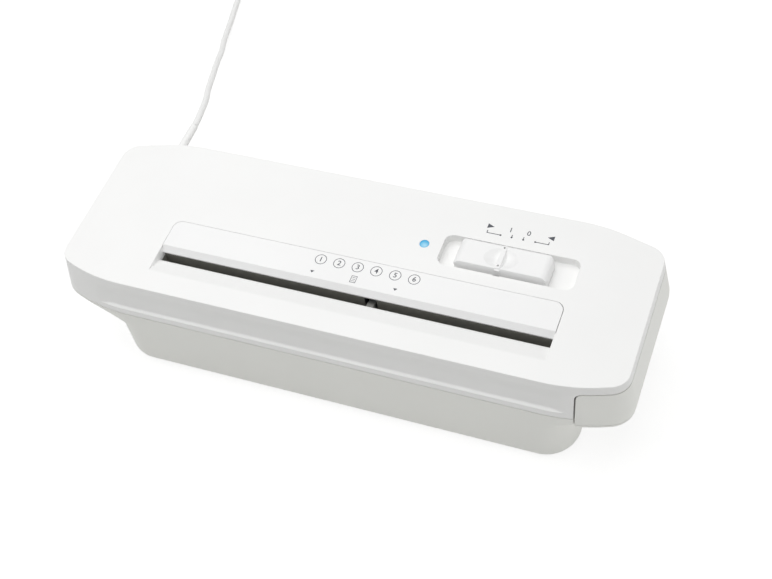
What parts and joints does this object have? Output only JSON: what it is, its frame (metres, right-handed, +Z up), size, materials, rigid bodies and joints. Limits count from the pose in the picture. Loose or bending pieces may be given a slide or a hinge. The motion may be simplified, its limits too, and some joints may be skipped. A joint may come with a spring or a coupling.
{
  "type": "paper shredder",
  "caption": "Strip-cut paper shredder head for a waste basket, with a slide-out support arm, a slide switch, a paper feed slot and a mains cord",
  "frame": {"origin": "centre of the head's footprint, on the flat underside of the tub", "axes": "+X towards the slide-out arm, +Y towards the back wall with the cord, +Z up through the top face"},
  "size_m": [0.3642, 0.3937, 0.0752],
  "materials": {
    "casing": "fine matt grain",
    "tub": "fine matt grain",
    "panel": "satin",
    "knob": "satin",
    "dark_plastic": "matt",
    "nylon": "moulded natural nylon",
    "steel": "machined",
    "plate_steel": "zinc plated sheet",
    "brass": "turned",
    "board": "solder mask",
    "relay_blue": "moulded",
    "capacitor_yellow": "moulded",
    "terminal_green": "moulded",
    "lens": "clear tinted",
    "cutout_ivory": "ceramic",
    "cord": "soft satin vinyl",
    "pin_metal": "nickel plated"
  },
  "bodies": {
    "head": {"upper_casing": "casing", "lower_casing": "tub", "inlet_panel": "panel", "front_paper_guide": "dark_plastic", "rear_paper_guide": "dark_plastic", "casing_screws": "plate_steel", "slide_switch": "plate_steel", "status_lens": "lens", "status_led": "lens", "control_board": "board", "board_screws": "plate_steel", "relay": "relay_blue", "capacitor": "capacitor_yellow", "terminal_block": "terminal_green", "sensor_pin": "steel", "sensor_spring": "steel", "sensor_switch": "dark_plastic", "left_side_plate": "plate_steel", "right_side_plate": "plate_steel", "tie_rods": "plate_steel", "frame_screws": "plate_steel", "cutter_bushes": "brass", "front_stripper_comb": "nylon", "rear_stripper_comb": "nylon", "gear_axles": "steel", "gearbox_cover": "dark_plastic", "motor_can": "plate_steel", "motor_end_cap": "dark_plastic", "motor_screws": "plate_steel", "thermal_cutout": "cutout_ivory", "strain_relief": "cord", "cord_clamp": "dark_plastic", "cord_tube": "cord", "cord_coil": "cord", "cord_tie": "dark_plastic", "cord_tail": "cord", "plug_body": "cord", "plug_pins": "pin_metal"},
    "arm": {"arm_shell": "tub", "arm_base_plate": "tub", "arm_rail_front": "tub", "arm_rail_back": "tub", "arm_screws": "plate_steel"},
    "switch": {"switch_knob": "knob", "switch_slider": "dark_plastic"},
    "sensor": {"sensor_lever": "tub"},
    "rear_shaft": {"rear_cutter": "steel", "rear_sync_gear": "steel", "drive_gear": "steel"},
    "front_shaft": {"front_cutter": "steel", "front_sync_gear": "steel"},
    "wheel_a": {"intermediate_gear_a": "nylon"},
    "wheel_b": {"intermediate_gear_b": "nylon"},
    "rotor": {"motor_shaft": "steel", "motor_pinion": "brass"}
  },
  "joints": [
    {"name": "arm_slide", "type": "slide", "parent": "head", "child": "arm", "axis": [1, 0, 0], "range_m": [0, 0.11]},
    {"name": "switch_slide", "type": "slide", "parent": "head", "child": "switch", "axis": [1, 0, 0], "range_m": [-0.00635, 0.0127]},
    {"name": "sensor_pivot", "type": "hinge", "parent": "head", "child": "sensor", "pos_m": [0.017, -0.013, 0.055], "axis": [1, 0, 0], "range_deg": [0, 22], "stiffness_Nm_per_rad": 0.004, "springref_deg": -20.05},
    {"name": "rear_cutter_spin", "type": "hinge", "parent": "head", "child": "rear_shaft", "pos_m": [0, -0.0125, 0.028], "axis": [1, 0, 0], "continuous": true},
    {"name": "front_cutter_spin", "type": "hinge", "parent": "head", "child": "front_shaft", "pos_m": [0, -0.0345, 0.028], "axis": [1, 0, 0], "continuous": true},
    {"name": "wheel_a_spin", "type": "hinge", "parent": "head", "child": "wheel_a", "pos_m": [-0.12, 0.00164, 0.04485], "axis": [1, 0, 0], "continuous": true},
    {"name": "wheel_b_spin", "type": "hinge", "parent": "head", "child": "wheel_b", "pos_m": [-0.116, 0.02303, 0.04786], "axis": [1, 0, 0], "continuous": true},
    {"name": "motor_spin", "type": "hinge", "parent": "head", "child": "rotor", "pos_m": [-0.1, 0.0277, 0.028], "axis": [1, 0, 0], "continuous": true}
  ],
  "couplings": [
    {"joint": "front_cutter_spin", "follows": "rear_cutter_spin", "ratio": -1},
    {"joint": "wheel_a_spin", "follows": "rear_cutter_spin", "ratio": -2.6667},
    {"joint": "wheel_b_spin", "follows": "rear_cutter_spin", "ratio": 9.3333},
    {"joint": "motor_spin", "follows": "rear_cutter_spin", "ratio": -43.556}
  ]
}
